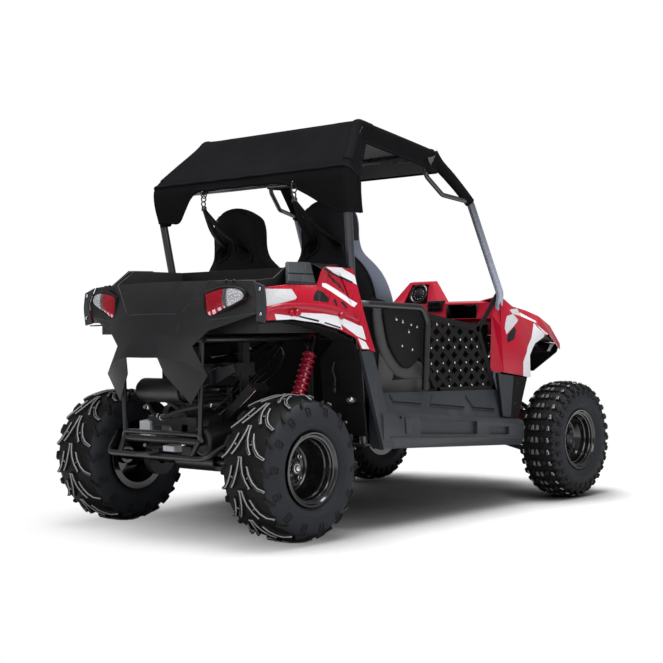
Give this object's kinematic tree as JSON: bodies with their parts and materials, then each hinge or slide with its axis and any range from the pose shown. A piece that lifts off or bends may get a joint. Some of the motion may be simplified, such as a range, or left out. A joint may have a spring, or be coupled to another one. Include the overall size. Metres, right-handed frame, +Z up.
{
  "type": "side by side utility vehicle",
  "caption": "Small open two-seat off-road vehicle with a roll cage, fabric roof, bucket seats, rear cargo bed, live rear axle and steered front wheels",
  "frame": {"origin": "on the ground, midway between the axles and between the wheels, which is the middle of the vehicle's box", "axes": "+Z up, -Y towards the nose, +X towards the vehicle's left side"},
  "size_m": [1.2244, 2.12, 1.45],
  "materials": {
    "frame_black": "satin",
    "fabric_black": "matte",
    "panel_black": "textured matte",
    "panel_grey": "textured matte",
    "red_paint": "gloss",
    "lamp_red": "gloss",
    "lamp_clear": "clear",
    "seat_cloth": "matte",
    "webbing": "matte",
    "spring_red": "gloss",
    "casting": "cast",
    "exhaust": "matte",
    "steel": "machined",
    "grip_rubber": "matte",
    "rim_black": "gloss",
    "tyre_black": "matte"
  },
  "bodies": {
    "chassis": {"frame": "frame_black", "roll_cage": "frame_black", "canopy": "fabric_black", "floor_pan": "panel_black", "dash": "red_paint", "seat_base": "frame_black", "rear_bulkhead": "panel_black", "harness": "webbing", "cargo_bed": "panel_black", "rear_fascia": "panel_black", "hood": "red_paint", "front_fascia": "panel_black", "steering_column": "frame_black", "rack_housing": "frame_black", "swing_arm": "frame_black", "engine": "casting", "drive_case": "casting", "muffler": "exhaust", "air_box": "panel_black", "rear_guard": "frame_black", "front_bumper": "frame_black", "skid_plate": "frame_black", "fender_pads": "panel_grey", "head_lamps": "lamp_clear", "side_bars": "frame_black", "rockers": "panel_grey", "rear_liners": "panel_black", "front_liners": "panel_black", "tail_lamps": "lamp_red", "side_nets": "webbing", "front_arms": "frame_black", "front_shocks": "spring_red", "rear_shocks": "spring_red", "rear_fender_left": "red_paint", "rear_fender_right": "red_paint", "front_fender_left": "red_paint", "front_fender_right": "red_paint", "seat_left": "seat_cloth", "seat_right": "seat_cloth"},
    "steering": {"steering_wheel": "grip_rubber"},
    "rack": {"rack_bar": "steel"},
    "steer_left": {"knuckle_left": "steel"},
    "steer_right": {"knuckle_right": "steel"},
    "front_wheel_left": {"front_rim_left": "rim_black", "front_tyre_left": "tyre_black"},
    "front_wheel_right": {"front_rim_right": "rim_black", "front_tyre_right": "tyre_black"},
    "rear_wheels": {"rear_axle": "steel", "rear_rim_left": "rim_black", "rear_rim_right": "rim_black", "rear_tyre_left": "tyre_black", "rear_tyre_right": "tyre_black"}
  },
  "joints": [
    {"name": "steer_left", "type": "hinge", "parent": "chassis", "child": "steer_left", "pos_m": [0.43, -0.79, 0.24], "axis": [0, 0, 1], "range_deg": [-26, 26]},
    {"name": "steer_right", "type": "hinge", "parent": "chassis", "child": "steer_right", "pos_m": [-0.43, -0.79, 0.24], "axis": [0, 0, 1], "range_deg": [-26, 26]},
    {"name": "rack_slide", "type": "slide", "parent": "chassis", "child": "rack", "axis": [1, 0, 0], "range_m": [-0.0405, 0.0405]},
    {"name": "steering_turn", "type": "hinge", "parent": "chassis", "child": "steering", "pos_m": [0.231, -0.205, 0.8], "axis": [0.3188, 0.6934, 0.6462], "range_deg": [-270.5, 270.5]},
    {"name": "front_roll_left", "type": "hinge", "parent": "steer_left", "child": "front_wheel_left", "pos_m": [0.525, -0.79, 0.24], "axis": [1, 0, 0], "continuous": true},
    {"name": "front_roll_right", "type": "hinge", "parent": "steer_right", "child": "front_wheel_right", "pos_m": [-0.525, -0.79, 0.24], "axis": [1, 0, 0], "continuous": true},
    {"name": "rear_roll", "type": "hinge", "parent": "chassis", "child": "rear_wheels", "pos_m": [0, 0.79, 0.245], "axis": [1, 0, 0], "continuous": true}
  ],
  "couplings": [
    {"joint": "steer_right", "follows": "steer_left", "ratio": 1},
    {"joint": "rack_slide", "follows": "steer_left", "m_per_rad": -0.08887},
    {"joint": "steering_turn", "follows": "steer_left", "ratio": 10.4}
  ]
}
